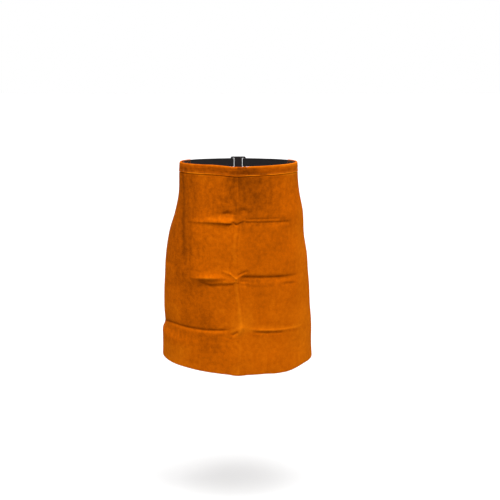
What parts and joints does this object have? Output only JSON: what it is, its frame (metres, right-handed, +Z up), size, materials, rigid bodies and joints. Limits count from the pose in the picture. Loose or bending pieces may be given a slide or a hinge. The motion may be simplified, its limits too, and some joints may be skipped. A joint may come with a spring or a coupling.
{
  "type": "leather waist apron",
  "caption": "Worn leather waist apron: a creased split-leather panel hangs from a folded waistband, held round the waist by a webbing strap and a plain buckle.",
  "frame": {"origin": "middle of the waist, at half the waistband's height", "axes": "+Z up, the front of the apron faces -Y, and -X is the left seen from the front"},
  "size_m": [0.4499, 0.2765, 0.6133],
  "materials": {
    "panel_leather": "napped split cowhide, dyed rust orange, matt",
    "band_leather": "napped split cowhide, dyed rust orange, matt, folded",
    "webbing": "woven black webbing",
    "buckle_resin": "moulded black acetal, satin"
  },
  "bodies": {
    "root": {"apron_panel": "panel_leather", "waistband": "band_leather", "waist_strap_left": "webbing", "waist_strap_right": "webbing", "buckle": "buckle_resin"}
  },
  "joints": []
}
